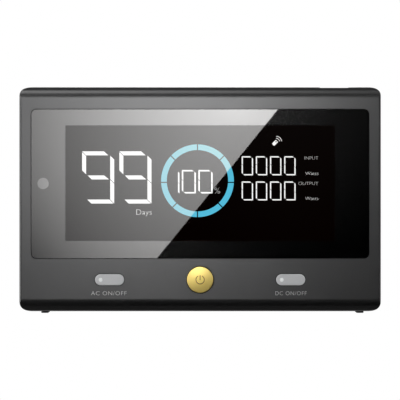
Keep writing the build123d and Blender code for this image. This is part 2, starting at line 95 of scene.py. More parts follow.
class Nodes:
    """A material's node tree, with short calls for the nodes used here."""

    def __init__(self, name):
        self.material = bpy.data.materials.new(name)
        self.material.use_nodes = True
        self.tree = self.material.node_tree
        self.shader = self.tree.nodes["Principled BSDF"]
        self.output = self.tree.nodes["Material Output"]
        self.coordinates = self.add("ShaderNodeTexCoord").outputs["Object"]

    def add(self, kind, **settings):
        node = self.tree.nodes.new(kind)
        for key, value in settings.items():
            setattr(node, key, value)
        return node

    def link(self, source, target):
        self.tree.links.new(source, target)

    def noise(self, scale, detail=2.0, roughness=0.5, stretch=None):
        """Noise with about scale waves to the metre. stretch multiplies that along each axis."""
        node = self.add("ShaderNodeTexNoise")
        node.inputs["Scale"].default_value = scale
        node.inputs["Detail"].default_value = detail
        node.inputs["Roughness"].default_value = roughness
        source = self.coordinates
        if stretch:
            mapping = self.add("ShaderNodeMapping")
            mapping.inputs["Scale"].default_value = stretch
            self.link(source, mapping.inputs["Vector"])
            source = mapping.outputs["Vector"]
        self.link(source, node.inputs["Vector"])
        return node.outputs["Fac"]

    def spread(self, noise, low, high):
        """The noise, spread between low and high."""
        return remap(self.tree, noise, NOISE_RANGE, (low, high))

    def shades(self, noise, dark, light):
        """A colour between two shades, chosen by the noise."""
        node = self.add("ShaderNodeMix", data_type="RGBA")
        node.inputs["A"].default_value = (*dark, 1.0)
        node.inputs["B"].default_value = (*light, 1.0)
        self.link(self.spread(noise, 0.0, 1.0), node.inputs["Factor"])
        return node.outputs["Result"]

    def painted_gap_shade(self, shade, reach):
        """The colour, with painted shade over it: nearly black where other surfaces stand closer than reach
        all round.
        """
        open_air = self.add("ShaderNodeAmbientOcclusion", samples=8)
        open_air.inputs["Distance"].default_value = reach
        clear = remap(self.tree, open_air.outputs["AO"], OPEN_AIR_RANGE, (0.0, 1.0))
        node = self.add("ShaderNodeMix", data_type="RGBA")
        node.inputs["A"].default_value = GAP_SHADE_BLACK
        self.link(clear, node.inputs["Factor"])
        self.link(shade, node.inputs["B"])
        return node.outputs["Result"]

    def bump(self, height, strength, distance):
        node = self.add("ShaderNodeBump")
        node.inputs["Strength"].default_value = strength
        node.inputs["Distance"].default_value = distance
        self.link(height, node.inputs["Height"])
        self.link(node.outputs["Normal"], self.shader.inputs["Normal"])

    def set(self, **values):
        """Values for the shader's sockets, with _ for a space in a name."""
        for key, value in values.items():
            self.shader.inputs[key.replace("_", " ")].default_value = value


# Mirrors as much light as the cover glass and the film bonded to it do together
FILM_IOR = 1.641
FILM_ROUGHNESS = 0.012

BROAD_SCALE = 60.0
BROAD_DETAIL = 3.0
GRAIN_DETAIL = 2.0
GRAIN_CONTRAST = 0.6
GRAIN_DEPTH = 0.02 * MM
GLOSS_VARIATION = 0.08

LINE_SCALE = 900.0
LINE_DETAIL = 3.0
LINE_CONTRAST = 0.7
LINE_DARK = 0.93
LINE_LIGHT = 1.05
LINE_GLOSS_VARIATION = 0.15
LINE_BUMP = 0.05
LINE_DEPTH = 0.01 * MM

FILM_GRAIN_SCALE = 3000.0
FILM_GRAIN_DARK = 0.97


def tint(color, factor):
    return tuple(min(1.0, channel * factor) for channel in color)


def surface(
    name, color, roughness, grain=4000.0, variation=0.08, bump=0.1, depth=GRAIN_DEPTH, gaps=0.0, **settings
):
    """A moulded, cast or printed surface: slight shade changes, uneven gloss and a fine grain.
    It gets painted shade, nearly black, in gaps narrower than the given length."""
    made = Nodes(name)
    broad = made.noise(BROAD_SCALE, BROAD_DETAIL)
    fine = made.noise(grain, GRAIN_DETAIL, GRAIN_CONTRAST)
    shade = made.shades(broad, tint(color, 1.0 - variation), tint(color, 1.0 + variation))
    # Painted shade in narrow gaps
    if gaps:
        shade = made.painted_gap_shade(shade, gaps)
    made.link(shade, made.shader.inputs["Base Color"])
    gloss = made.spread(fine, roughness * (1.0 - GLOSS_VARIATION), roughness * (1.0 + GLOSS_VARIATION))
    made.link(gloss, made.shader.inputs["Roughness"])
    made.bump(fine, bump, depth)
    made.set(**settings)
    return made.material


def brushed(name, color, roughness, stretch, gaps=0.0, **settings):
    """Metal with fine drawn lines along one direction."""
    made = Nodes(name)
    lines = made.noise(LINE_SCALE, LINE_DETAIL, LINE_CONTRAST, stretch)
    shade = made.shades(lines, tint(color, LINE_DARK), tint(color, LINE_LIGHT))
    # Painted shade in narrow gaps
    if gaps:
        shade = made.painted_gap_shade(shade, gaps)
    made.link(shade, made.shader.inputs["Base Color"])
    smooth = roughness * (1.0 - LINE_GLOSS_VARIATION)
    rough = roughness * (1.0 + LINE_GLOSS_VARIATION)
    made.link(made.spread(lines, smooth, rough), made.shader.inputs["Roughness"])
    made.bump(lines, LINE_BUMP, LINE_DEPTH)
    made.set(Metallic=1.0)
    made.set(**settings)
    return made.material


def lit(name, color, strength, **settings):
    """A lit part of the display: even light with a faint grain of the colour film over it."""
    made = Nodes(name)
    grain = made.noise(FILM_GRAIN_SCALE)
    shade = made.shades(grain, tint(color, FILM_GRAIN_DARK), color)
    made.link(shade, made.shader.inputs["Emission Color"])
    made.set(Base_Color=BLACK, Emission_Strength=strength, Roughness=FILM_ROUGHNESS, IOR=FILM_IOR)
    made.set(**settings)
    return made.material


# ---------------------------------------------------------------- materials

# Gaps narrower than this get painted shade, nearly black. It is less than the height of the feet, so the
# floor isn't one side of such a gap.
GAP_SHADE_REACH = 0.7 * MM

# Brushing direction of the drawn lines, as a stretch of the noise along x, y and z
CAP_BRUSHING = (1.0, 1.0, 14.0)
STEEL_BRUSHING = (1.0, 1.0, 6.0)
BRASS_BRUSHING = (6.0, 1.0, 1.0)

shell = surface(
    "shell_finish", (0.136, 0.136, 0.137), 0.34,
    grain=5200.0, variation=0.03, bump=0.12, depth=0.01 * MM, gaps=GAP_SHADE_REACH,
    Metallic=0.9,
)
# Painted light: a faint gold glow brightens the whole button cap. Its gaps get painted shade.
gold = brushed(
    "gold_finish", (1.0, 0.75, 0.24), 0.35, CAP_BRUSHING, gaps=GAP_SHADE_REACH,
    Metallic=0.9, Emission_Color=(1.0, 0.74, 0.18, 1.0), Emission_Strength=0.13,
)
# Painted shade for the groove of the power sign
sign_shade_gold = surface(
    "sign_shade_gold_finish", (0.42, 0.33, 0.10), 0.4,
    grain=5000.0, variation=0.05, bump=0.05,
    Metallic=1.0,
)
# Painted light: a faint white glow brightens both pill buttons alike. Their gaps get painted shade.
button_plastic = surface(
    "button_finish", (0.68, 0.685, 0.70), 0.4,
    grain=6000.0, variation=0.02, bump=0.08, gaps=GAP_SHADE_REACH,
    Emission_Color=(0.98, 0.99, 1.0, 1.0), Emission_Strength=0.13,
)
# Painted light: a glow brightens the light pipe ends.
lamp_window = surface(
    "lamp_window_finish", (0.86, 0.88, 0.87), 0.36,
    grain=5000.0, variation=0.02, bump=0.03,
    Emission_Color=(0.95, 1.0, 0.99, 1.0), Emission_Strength=0.43,
)
border = surface(
    "border_finish", (0.0095, 0.0095, 0.0096), 0.205,
    grain=3000.0, variation=0.02, bump=0.0,
    Metallic=1.0, Coat_Weight=1.0, Coat_IOR=2.04, Coat_Roughness=FILM_ROUGHNESS,
)
sensor = surface(
    "sensor_finish", (0.207, 0.207, 0.208), 0.02,
    grain=3000.0, variation=0.03, bump=0.02,
    Metallic=1.0,
)
black_plastic = surface(
    "black_plastic_finish", (0.02, 0.02, 0.021), 0.5, grain=3000.0, variation=0.1, bump=0.15
)
rubber = surface(
    "rubber_finish", (0.012, 0.012, 0.012), 0.75, grain=2200.0, variation=0.15, bump=0.3, depth=0.04 * MM
)
foam = surface(
    "foam_finish", (0.03, 0.03, 0.03), 0.95, grain=1400.0, variation=0.3, bump=0.6, depth=0.1 * MM
)
steel = brushed("steel_finish", (0.56, 0.57, 0.58), 0.32, STEEL_BRUSHING)
brass = brushed("brass_finish", (0.80, 0.60, 0.27), 0.3, BRASS_BRUSHING)
board_green = surface("board_finish", (0.012, 0.09, 0.035), 0.3, grain=1500.0, variation=0.25)
chip = surface("chip_finish", (0.02, 0.02, 0.02), 0.55, grain=4200.0, variation=0.15, bump=0.25)
white_plastic = surface("white_plastic_finish", (0.78, 0.78, 0.75), 0.5, grain=2600.0, variation=0.03)
white_film = surface(
    "white_film_finish", (0.85, 0.85, 0.84), 0.6, grain=2000.0, variation=0.02, bump=0.05
)
ribbon = surface("ribbon_finish", (0.45, 0.20, 0.04), 0.25, grain=900.0, variation=0.15, bump=0.05)
label_film = surface("label_finish", (0.30, 0.30, 0.305), 0.4, grain=2600.0, variation=0.03, bump=0.05)
printing = surface("printing_finish", (0.90, 0.90, 0.90), 0.36, grain=5000.0, variation=0.04, bump=0.05)
lit_white = lit("lit_white", (1.0, 1.0, 1.0), 1.0)
lit_words = lit("lit_words", (1.0, 1.0, 1.0), 0.92)
lit_blue = lit(
    "lit_blue", (0.092, 0.515, 0.72), 1.0, IOR=1.845, Specular_Tint=(1.0, 0.71, 0.38, 1.0)
)

LENS_FACING_TONE = (0.99, 0.988, 0.986, 1.0)
LENS_SLANTED_TONE = (0.55, 0.68, 0.62, 1.0)
LENS_SLANT = 0.15


def lens_material():
    """Clear cover glass, coated against glare: it lets nearly all light through and turns greenish at a
    slant. The layers bonded to its back carry the reflections."""
    made = Nodes("lens_finish")
    slant = made.add("ShaderNodeLayerWeight")
    slant.inputs["Blend"].default_value = LENS_SLANT
    tone = made.add("ShaderNodeMix", data_type="RGBA")
    tone.inputs["A"].default_value = LENS_FACING_TONE
    tone.inputs["B"].default_value = LENS_SLANTED_TONE
    made.link(slant.outputs["Facing"], tone.inputs["Factor"])
    clear = made.add("ShaderNodeBsdfTransparent")
    made.link(tone.outputs["Result"], clear.inputs["Color"])
    made.link(clear.outputs["BSDF"], made.output.inputs["Surface"])
    made.tree.nodes.remove(made.shader)
    return made.material


POLARISER_GRAIN_SCALE = 2500.0
BACKLIGHT_DARK = (0.0010, 0.0002, 0.0001)
BACKLIGHT_LIGHT = (0.0014, 0.0003, 0.0001)


def polariser_material():
    """Black front film of the display, bonded to the glass, with the faint warm glow of its backlight."""
    made = Nodes("polariser_finish")
    grain = made.noise(POLARISER_GRAIN_SCALE)
    shade = made.shades(grain, BACKLIGHT_DARK, BACKLIGHT_LIGHT)
    made.link(shade, made.shader.inputs["Emission Color"])
    made.set(Base_Color=BLACK, Emission_Strength=1.0, Roughness=FILM_ROUGHNESS, IOR=FILM_IOR)
    return made.material


ACRYLIC_WAVE_SCALE = 200.0
ACRYLIC_ROUGHNESS = (0.03, 0.08)


def clear_plastic_material():
    """Clear acrylic of the light guide and light pipes."""
    made = Nodes("clear_plastic_finish")
    wave = made.noise(ACRYLIC_WAVE_SCALE)
    made.link(made.spread(wave, *ACRYLIC_ROUGHNESS), made.shader.inputs["Roughness"])
    made.set(Base_Color=(0.92, 0.95, 0.96, 1.0), Transmission_Weight=0.9, IOR=1.49)
    return made.material


lens_glass = lens_material()
polariser = polariser_material()
clear_plastic = clear_plastic_material()

SLOT_FINISH = {
    "shell_plastic": shell,
    "lens_glass": lens_glass,
    "border_print": border,
    "sensor_tint": sensor,
    "adhesive": black_plastic,
    "foam": foam,
    "polariser_film": polariser,
    "display_glass": clear_plastic,
    "white_film": white_film,
    "clear_acrylic": clear_plastic,
    "lamp_body": white_plastic,
    "white_plastic": white_plastic,
    "circuit_board": board_green,
    "chip_plastic": chip,
    "ribbon_film": ribbon,
    "steel": steel,
    "brass": brass,
    "foot_rubber": rubber,
    "seal_rubber": rubber,
    "gold_metal": gold,
    "button_plastic": button_plastic,
    "light_pipe": lamp_window,
    "port_plastic": black_plastic,
    "label_film": label_film,
}

for subpart in frame["record"]["subparts"]:
    finish = SLOT_FINISH[subpart["material_slot"]]
    node = nodes[subpart["node"]]
    if not node.material_slots:
        node.data.materials.append(None)
    for place in node.material_slots:
        place.link = "OBJECT"
        place.material = finish


# ---------------------------------------------------------------- outlines, in mm

def arc(center, radius, start, end, steps):
    """Points on an arc between two angles in degrees."""
    angles = [math.radians(start + (end - start) * step / steps) for step in range(steps + 1)]
    return [(center[0] + radius * math.cos(a), center[1] + radius * math.sin(a)) for a in angles]


def arc_band(center, inner, outer, start, end, steps):
    """A band between two radii and two angles in degrees, as one polygon."""
    return arc(center, outer, start, end, steps) + arc(center, inner, start, end, steps)[::-1]


def rounded_outline(half_width, half_height, corner, steps=8):
    """A rectangle with round corners about the origin, as one polygon."""
    points = []
    for quarter, (side, up) in enumerate(((1, 1), (-1, 1), (-1, -1), (1, -1))):
        for step in range(steps + 1):
            a = math.radians(quarter * 90.0 + step * 90.0 / steps)
            x = side * (half_width - corner) + corner * math.cos(a)
            z = up * (half_height - corner) + corner * math.sin(a)
            points.append((x, z))
    return points


def digit(segments, left, right, bottom, top, stroke, gap):
    """Segment display digit, as a list of polygons. Every joint is cut along the same falling diagonal.
    Some ends are drawn back a little further than the gap between segments needs."""
    middle = (top + bottom + stroke) / 2
    under = middle - stroke
    half = gap / 2
    slack = 0.4 * stroke
    top_slack = 1.3 * slack
    left_slack = 0.8 * slack
    side_slack = 0.5 * slack
    bar_slack = 1.1 * slack
    bar_tip_slack = 0.6 * slack
    shapes = {
        "top": [
            (left, top),
            (right - 2 * stroke - half - top_slack, top),
            (right - stroke - half - slack, top - stroke),
            (left + stroke, top - stroke),
        ],
        "high_right": [
            (right - stroke, top - stroke - half),
            (right, top - 2 * stroke - half),
            (right, under - stroke + half),
            (right - stroke, under + half),
        ],
        "low_right": [
            (right - stroke, under - half),
            (right, under - stroke - half),
            (right, bottom),
            (right - stroke, bottom + stroke),
        ],
        "bottom": [
            (left + stroke + left_slack, bottom + stroke),
            (right - stroke - gap, bottom + stroke),
            (right - gap, bottom),
            (left + 2 * stroke + left_slack, bottom),
        ],
        "low_left": [
            (left, middle + stroke - half),
            (left + stroke, middle - half),
            (left + stroke, bottom + stroke + half),
            (left, bottom + 2 * stroke + half),
        ],
        "high_left": [
            (left, top - gap),
            (left + stroke, top - stroke - gap),
            (left + stroke, middle + half + side_slack),
            (left, middle + stroke + half + side_slack),
        ],
        "bar": [
            (left + stroke + half + left_slack, middle),
            (right - 2 * stroke - half - bar_slack, middle),
            (right - stroke - half - bar_tip_slack, under),
            (left + 2 * stroke + half + left_slack, under),
        ],
    }
    return [shapes[segment] for segment in segments]


NINE = ("top", "high_right", "low_right", "bottom", "high_left", "bar")
ZERO = ("top", "high_right", "low_right", "bottom", "low_left", "high_left")
ONE = ("high_right", "low_right")


# ---------------------------------------------------------------- flat pieces on the display and the shell

PRINT_DEPTH = 0.02 * MM


def place_piece(piece, material, body="panel"):
    scene.collection.objects.link(piece)
    piece.data.materials.clear()
    piece.data.materials.append(material)
    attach(piece, body)


def flat_piece(name, polygons, origin, material, body="panel"):
    """Thin solid shapes facing the front. polygons hold (right, up) points in mm from origin, a Vector."""
    mesh = bmesh.new()
    for polygon in polygons:
        ring = [mesh.verts.new(origin + Vector((x * MM, 0.0, z * MM))) for x, z in polygon]
        face = mesh.faces.new(ring)
        face.normal_update()
        if face.normal.y > 0:
            face.normal_flip()
        sides = bmesh.ops.extrude_face_region(mesh, geom=[face])
        moved = [item for item in sides["geom"] if isinstance(item, bmesh.types.BMVert)]
        bmesh.ops.translate(mesh, verts=moved, vec=(0.0, -PRINT_DEPTH, 0.0))
    bmesh.ops.recalc_face_normals(mesh, faces=mesh.faces)
    data = bpy.data.meshes.new(name)
    mesh.to_mesh(data)
    mesh.free()
    place_piece(bpy.data.objects.new(name, data), material, body)


def capital_height():
    """Height of a capital letter in the plain typeface at size 1."""
    curve = bpy.data.curves.new("capital", "FONT")
    curve.body = "H"
    source = bpy.data.objects.new("capital", curve)
    scene.collection.objects.link(source)
    bpy.context.view_layer.update()
    height = source.dimensions.y
    bpy.data.objects.remove(source)
    return height


# Half the thickness of lettering at size 1, before it is pressed flat to PRINT_DEPTH
LETTER_HALF_DEPTH = 0.5


def lettering(name, words, left, right, baseline, height, origin, material, weight=0.0, spacing=1.0):
    """Words in a plain sans typeface, fitted between left and right, with capitals of the given height.
    Lengths are mm from origin, a Vector. A weight below zero makes the strokes thinner."""
    curve = bpy.data.curves.new(name + "_curve", "FONT")
    curve.body = words
    curve.size = 1.0
    curve.space_character = spacing
    curve.offset = weight
    curve.extrude = LETTER_HALF_DEPTH
    curve.resolution_u = 4
    source = bpy.data.objects.new(name + "_curve", curve)
    scene.collection.objects.link(source)
    bpy.context.view_layer.update()
    data = bpy.data.meshes.new_from_object(source.evaluated_get(bpy.context.evaluated_depsgraph_get()))
    bpy.data.objects.remove(source)
    low = min(vertex.co.x for vertex in data.vertices)
    high = max(vertex.co.x for vertex in data.vertices)
    wide = (right - left) * MM / (high - low)
    tall = height * MM / capital_height()
    for vertex in data.vertices:
        x, z, depth = vertex.co
        across = left * MM + (x - low) * wide
        toward = -(LETTER_HALF_DEPTH + depth) * PRINT_DEPTH
        vertex.co = origin + Vector((across, toward, baseline * MM + z * tall))
    data.flip_normals()
    data.update()
    mesh = bmesh.new()
    mesh.from_mesh(data)
    bmesh.ops.recalc_face_normals(mesh, faces=mesh.faces)
    mesh.to_mesh(data)
    mesh.free()
    data.name = name
    place_piece(bpy.data.objects.new(name, data), material)


# Graphics lie just in front of the display's film. Their places are mm from the display's middle.
GRAPHICS_LIFT = 0.03 * MM
display_origin = Vector((0.0, display_low.y - GRAPHICS_LIFT, display_middle.z))

DAYS_LEFTS = (("tens", -53.9), ("units", -36.88))
DAYS_WIDTH = 14.64
DAYS_BOTTOM = -9.3
DAYS_TOP = 14.52
DAYS_STROKE = 1.8
DAYS_GAP = 0.34

# Shape, left edge and right edge of each digit
CHARGE_DIGITS = ((ONE, -14.15, -9.44), (ZERO, -8.36, -1.94), (ZERO, -0.8, 5.72))
CHARGE_BOTTOM = -4.71
CHARGE_TOP = 6.02
CHARGE_STROKE = 0.66
CHARGE_GAP = 0.14

# Piece, bottom and top of each row of four zeros
WATT_ROWS = (("input_digits", 3.57, 12.28), ("output_digits", -7.88, 0.78))
WATT_DIGITS = 4
WATT_LEFT = 18.99
WATT_PITCH = 6.48
WATT_WIDTH = 5.2
WATT_STROKE = 0.54
WATT_GAP = 0.12


def display_digits():
    for place, left in DAYS_LEFTS:
        shapes = digit(NINE, left, left + DAYS_WIDTH, DAYS_BOTTOM, DAYS_TOP, DAYS_STROKE, DAYS_GAP)
        flat_piece("days_" + place, shapes, display_origin, lit_white)
    charge = []
    for segments, left, right in CHARGE_DIGITS:
        charge += digit(segments, left, right, CHARGE_BOTTOM, CHARGE_TOP, CHARGE_STROKE, CHARGE_GAP)
    flat_piece("charge_digits", charge, display_origin, lit_white)
    for name, bottom, top in WATT_ROWS:
        shapes = []
        for place in range(WATT_DIGITS):
            left = WATT_LEFT + place * WATT_PITCH
            shapes += digit(ZERO, left, left + WATT_WIDTH, bottom, top, WATT_STROKE, WATT_GAP)
        flat_piece(name, shapes, display_origin, lit_white)


RING_CENTER = Vector((-1.2, 1.1))
RING_INNER = 14.02
RING_OUTER = 16.62
RING_SEGMENTS = 8
RING_CUT = 0.5
CUT_CENTER = RING_CENTER - Vector((0.0, 0.74))
SEGMENT_STEPS = 14


def cut_angle(degrees, side, radius):
    """Angle about the ring's centre at which one side of a cut, 1 or -1, meets a radius."""
    along = Vector((math.cos(math.radians(degrees)), math.sin(math.radians(degrees))))
    start = CUT_CENTER + Vector((-along.y, along.x)) * side * RING_CUT / 2 - RING_CENTER
    reach = -start.dot(along) + math.sqrt(start.dot(along) ** 2 - start.length_squared + radius ** 2)
    met = start + along * reach
    return math.atan2(met.y, met.x)


def charge_ring():
    """Equal segments. The cuts between them start from a point just below the ring's centre."""
    turn = 360.0 / RING_SEGMENTS
    forward = range(SEGMENT_STEPS + 1)
    for segment in range(RING_SEGMENTS):
        first = segment * turn
        last = first + turn
        band = []
        for radius, order in ((RING_OUTER, forward), (RING_INNER, reversed(forward))):
            begin = cut_angle(first, 1, radius)
            swept = (cut_angle(last, -1, radius) - begin) % math.tau
            for step in order:
                a = begin + swept * step / SEGMENT_STEPS
                band.append((RING_CENTER.x + radius * math.cos(a), RING_CENTER.y + radius * math.sin(a)))
        flat_piece(f"ring_segment_{segment + 1}", [band], display_origin, lit_blue)


# Piece, words, left, right, baseline, height of a capital, and weight
DISPLAY_WORDS = (
    ("days_word", "Days", -29.1, -22.1, -14.45, 2.5, -0.025),
    ("percent_sign", "%", 6.6, 9.1, -4.75, 2.8, -0.025),
    ("input_word", "INPUT", 47.75, 53.95, 10.8, 1.45, -0.032),
    ("input_unit", "Watts", 48.1, 54.0, 3.75, 1.45, -0.025),
    ("output_word", "OUTPUT", 44.95, 53.95, -0.85, 1.45, -0.032),
    ("output_unit", "Watts", 48.1, 54.0, -7.7, 1.45, -0.025),
)


def display_words():
    for name, words, left, right, baseline, height, weight in DISPLAY_WORDS:
        lettering(
            name, words, left, right, baseline, height, display_origin, lit_words, weight
        )


HANDSET_MIDDLE = (34.2, 18.4)
HANDSET_HALF_LENGTH = 1.26
HANDSET_HALF_WIDTH = 0.74
HANDSET_CORNER = 0.34
HANDSET_TILT = math.radians(45.0)
WAVE_SOURCE = (HANDSET_MIDDLE[0] + 0.5, HANDSET_MIDDLE[1] + 0.5)
WAVE_RADII = (1.6, 2.54)
WAVE_HALF_STROKE = 0.11
WAVE_START = 6.0
WAVE_END = 88.0
DOT_RADIUS = 0.32
DOT_LIFT = 1.5 * PRINT_DEPTH


def remote_sign():
    """Small sign of a handset at 45 degrees, sending two waves to the upper right. A black dot lies on
    the handset, where the waves start."""
    across = math.cos(HANDSET_TILT)
    rise = math.sin(HANDSET_TILT)
    upright = rounded_outline(HANDSET_HALF_LENGTH, HANDSET_HALF_WIDTH, HANDSET_CORNER, steps=4)
    shapes = [
        [
            (HANDSET_MIDDLE[0] + x * across - z * rise, HANDSET_MIDDLE[1] + x * rise + z * across)
            for x, z in upright
        ]
    ]
    for radius in WAVE_RADII:
        inner = radius - WAVE_HALF_STROKE
        outer = radius + WAVE_HALF_STROKE
        shapes.append(arc_band(WAVE_SOURCE, inner, outer, WAVE_START, WAVE_END, steps=12))
    flat_piece("remote_sign", shapes, display_origin, lit_white)
    dot = arc(WAVE_SOURCE, DOT_RADIUS, 0.0, 359.0, steps=16)
    dot_origin = display_origin - Vector((0.0, DOT_LIFT, 0.0))
    flat_piece("remote_sign_dot", [dot], dot_origin, polariser)


# Piece, words, the light pipe they are measured from, left and right, in mm
SHELL_WORDS = (
    ("ac_label", "AC ON/OFF", "ac_light_pipe", -4.35, 11.9),
    ("dc_label", "DC ON/OFF", "dc_light_pipe", -2.9, 11.4),
)
SHELL_WORDS_BASELINE = -7.05
SHELL_WORDS_HEIGHT = 1.8
SHELL_WORDS_WEIGHT = -0.008
SHELL_WORDS_SPACING = 1.1


def shell_printing():
    """Names of the two outputs under their buttons, on the shell's front."""
    for name, words, node_name, left, right in SHELL_WORDS:
        low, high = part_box(node_name)
        origin = Vector(((low.x + high.x) / 2, front_y, (low.z + high.z) / 2))
        lettering(
            name, words, left, right, SHELL_WORDS_BASELINE, SHELL_WORDS_HEIGHT, origin, printing,
            SHELL_WORDS_WEIGHT, SHELL_WORDS_SPACING,
        )


# The power sign, as it is cut into the round button, in mm. The clearance at its ends is in degrees.
SIGN_RADIUS = 1.9
SIGN_HALF_STROKE = 0.2
SIGN_OPENING_HALF_WIDTH = 0.85
SIGN_END_CLEARANCE = 1.0
SIGN_BAR_LOW = -0.15
SIGN_BAR_HIGH = 2.05
SIGN_SHADE_DEPTH = 0.33 * MM


def power_sign():
    """Dark gold sheet at the bottom of the power sign that is sunk into the round button: painted shade in
    the sign's groove.
    """
    low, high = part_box("power_button_cap")
    origin = Vector(((low.x + high.x) / 2, low.y + SIGN_SHADE_DEPTH, (low.z + high.z) / 2))
    inner = SIGN_RADIUS - SIGN_HALF_STROKE
    outer = SIGN_RADIUS + SIGN_HALF_STROKE
    opening = math.degrees(math.asin(SIGN_OPENING_HALF_WIDTH / SIGN_RADIUS)) + SIGN_END_CLEARANCE
    curve = arc_band((0.0, 0.0), inner, outer, 90.0 + opening, 450.0 - opening, steps=40)
    bar = [
        (-SIGN_HALF_STROKE, SIGN_BAR_LOW),
        (SIGN_HALF_STROKE, SIGN_BAR_LOW),
        (SIGN_HALF_STROKE, SIGN_BAR_HIGH),
        (-SIGN_HALF_STROKE, SIGN_BAR_HIGH),
    ]
    flat_piece("power_sign_painted_shade", [curve, bar], origin, sign_shade_gold, "power_button")


LENS_CORNER = 2.3
# Black rings low in the gaps round the cover glass and the buttons, as painted shade
LENS_SHADE_CLEARANCE = 0.02
LENS_SHADE_WIDTH = 0.18
LENS_SHADE_DEPTH = 0.5 * MM
BUTTON_SHADE_CLEARANCE = 0.06
ROUND_SHADE_WIDTH = 0.36
PILL_SHADE_WIDTH = 0.31
BUTTON_SHADE_DEPTH = 0.3 * MM

# How far the hidden skirt of a pill button stands out past the pill itself, in mm
PILL_SKIRT = 1.3


def gap_shade_ring(name, node_name, corner, clearance, width, y, material):
    """Black ring low in the gap round a part, clear of the part itself: painted shade in the gap. Without a
    corner radius, in mm, the part's ends are fully round."""
    low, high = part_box(node_name)
    half_width = (high.x - low.x) / 2 / MM + clearance
    half_height = (high.z - low.z) / 2 / MM + clearance
    corner = corner + clearance if corner else half_height
    inner = rounded_outline(half_width, half_height, corner)
    outer = rounded_outline(half_width + width, half_height + width, corner + width)
    count = len(inner)
    quads = [[inner[i], outer[i], outer[(i + 1) % count], inner[(i + 1) % count]] for i in range(count)]
    origin = Vector(((low.x + high.x) / 2, y, (low.z + high.z) / 2))
    flat_piece(name, quads, origin, material)


def gap_shade_rings():
    """Painted shade: black rings low in the gaps, of black plastic round the cover glass and of rubber
    round the three buttons.
    """
    gap_shade_ring(
        "lens_gap_shade", "cover_lens", LENS_CORNER, LENS_SHADE_CLEARANCE, LENS_SHADE_WIDTH, lens_low.y + LENS_SHADE_DEPTH,
        black_plastic,
    )
    button_shade_y = front_y + BUTTON_SHADE_DEPTH
    gap_shade_ring(
        "power_button_gap_shade", "power_button_cap", 0.0, BUTTON_SHADE_CLEARANCE, ROUND_SHADE_WIDTH, button_shade_y,
        rubber,
    )
    for side in ("ac", "dc"):
        gap_shade_ring(
            side + "_button_gap_shade", side + "_button_cap", 0.0, BUTTON_SHADE_CLEARANCE - PILL_SKIRT, PILL_SHADE_WIDTH,
            button_shade_y, rubber,
        )


power_sign()
gap_shade_rings()
display_digits()
charge_ring()
display_words()
remote_sign()
shell_printing()


# ---------------------------------------------------------------- camera

VIEW_WIDTH = 0.1826
CAMERA_DISTANCE = 3.0
SENSOR_WIDTH = 36.0

# How far the view's middle lies left of the object's middle, and above it
CAMERA_SHIFT = 0.05 * MM


def make_camera():
    """Far away with a long lens, so the view is nearly parallel."""
    data = bpy.data.cameras.new("camera")
    camera = bpy.data.objects.new("camera", data)
    scene.collection.objects.link(camera)
    data.sensor_width = SENSOR_WIDTH
    data.lens = SENSOR_WIDTH * CAMERA_DISTANCE / VIEW_WIDTH
    data.clip_start = 0.01
    data.clip_end = 50.0
    camera.location = (-CAMERA_SHIFT, front_y - CAMERA_DISTANCE, object_middle.z + CAMERA_SHIFT)
    camera.rotation_euler = (math.radians(90.0), 0.0, 0.0)
    scene.camera = camera


make_camera()


# ---------------------------------------------------------------- studio

scene.view_settings.view_transform = "Standard"


def emitter(name, strength=1.0):
    """Material that only gives white light. Returns it and its emission node."""
    material = bpy.data.materials.new(name)
    material.use_nodes = True
    tree = material.node_tree
    tree.nodes.clear()
    glow = tree.nodes.new("ShaderNodeEmission")
    glow.inputs["Color"].default_value = WHITE
    glow.inputs["Strength"].default_value = strength
    output = tree.nodes.new("ShaderNodeOutputMaterial")
    tree.links.new(glow.outputs["Emission"], output.inputs["Surface"])
    return material, glow


def falling_light(name, spot, peak, fall):
    """White light with its peak at one spot. It loses fall of its strength with each metre from there."""
    material, glow = emitter(name)
    tree = material.node_tree
    place = tree.nodes.new("ShaderNodeTexCoord")
    away = tree.nodes.new("ShaderNodeVectorMath")
    away.operation = "DISTANCE"
    away.inputs[1].default_value = spot
    tree.links.new(place.outputs["Object"], away.inputs[0])
    strength = remap(tree, away.outputs["Value"], (0.0, peak / fall), (peak, 0.0))
    tree.links.new(strength, glow.inputs["Strength"])
    return material


def stage_sheet(name, corners, material, seen_by_camera=False):
    data = bpy.data.meshes.new(name)
    data.from_pydata([tuple(corner) for corner in corners], [], [tuple(range(len(corners)))])
    sheet = bpy.data.objects.new(name, data)
    scene.collection.objects.link(sheet)
    data.materials.append(material)
    sheet.visible_camera = seen_by_camera
    sheet.visible_shadow = False
    return sheet


def level_corners(half_width, near, far, height):
    """Corners of a level rectangle."""
    return [
        (-half_width, near, height),
        (half_width, near, height),
        (half_width, far, height),
        (-half_width, far, height),
    ]


def softbox(name, location, aim, size, power):
    data = bpy.data.lights.new(name, "AREA")
    data.shape = "RECTANGLE"
    data.size, data.size_y = size
    data.energy = power
    light = bpy.data.objects.new(name, data)
    scene.collection.objects.link(light)
    light.location = location
    direction = Vector(aim) - Vector(location)
    light.rotation_euler = direction.to_track_quat("-Z", "Y").to_euler()
    light.visible_camera = False


# Three cards stand between camera and panel. The cover glass mirrors the main card, whose straight edge
# falls across it as a diagonal from above right to below left. Its light is strongest left of that edge,
# high up. The faint card carries on beyond the edge, and the side card adds light from the left.
CARD_DISTANCE = 0.30
CARD_SIDE = 0.30
CARD_TOP_RISE = 0.09
CARD_KNEE_RISE = 0.012
CARD_FOOT_DROP = 0.014
SIDE_CARD_LEFT = -0.28
SIDE_CARD_RIGHT = -0.14
SIDE_CARD_BOTTOM = 0.07
SIDE_CARD_TOP = 0.22
card_y = front_y - CARD_DISTANCE
spread_out = (CAMERA_DISTANCE + CARD_DISTANCE) / CAMERA_DISTANCE


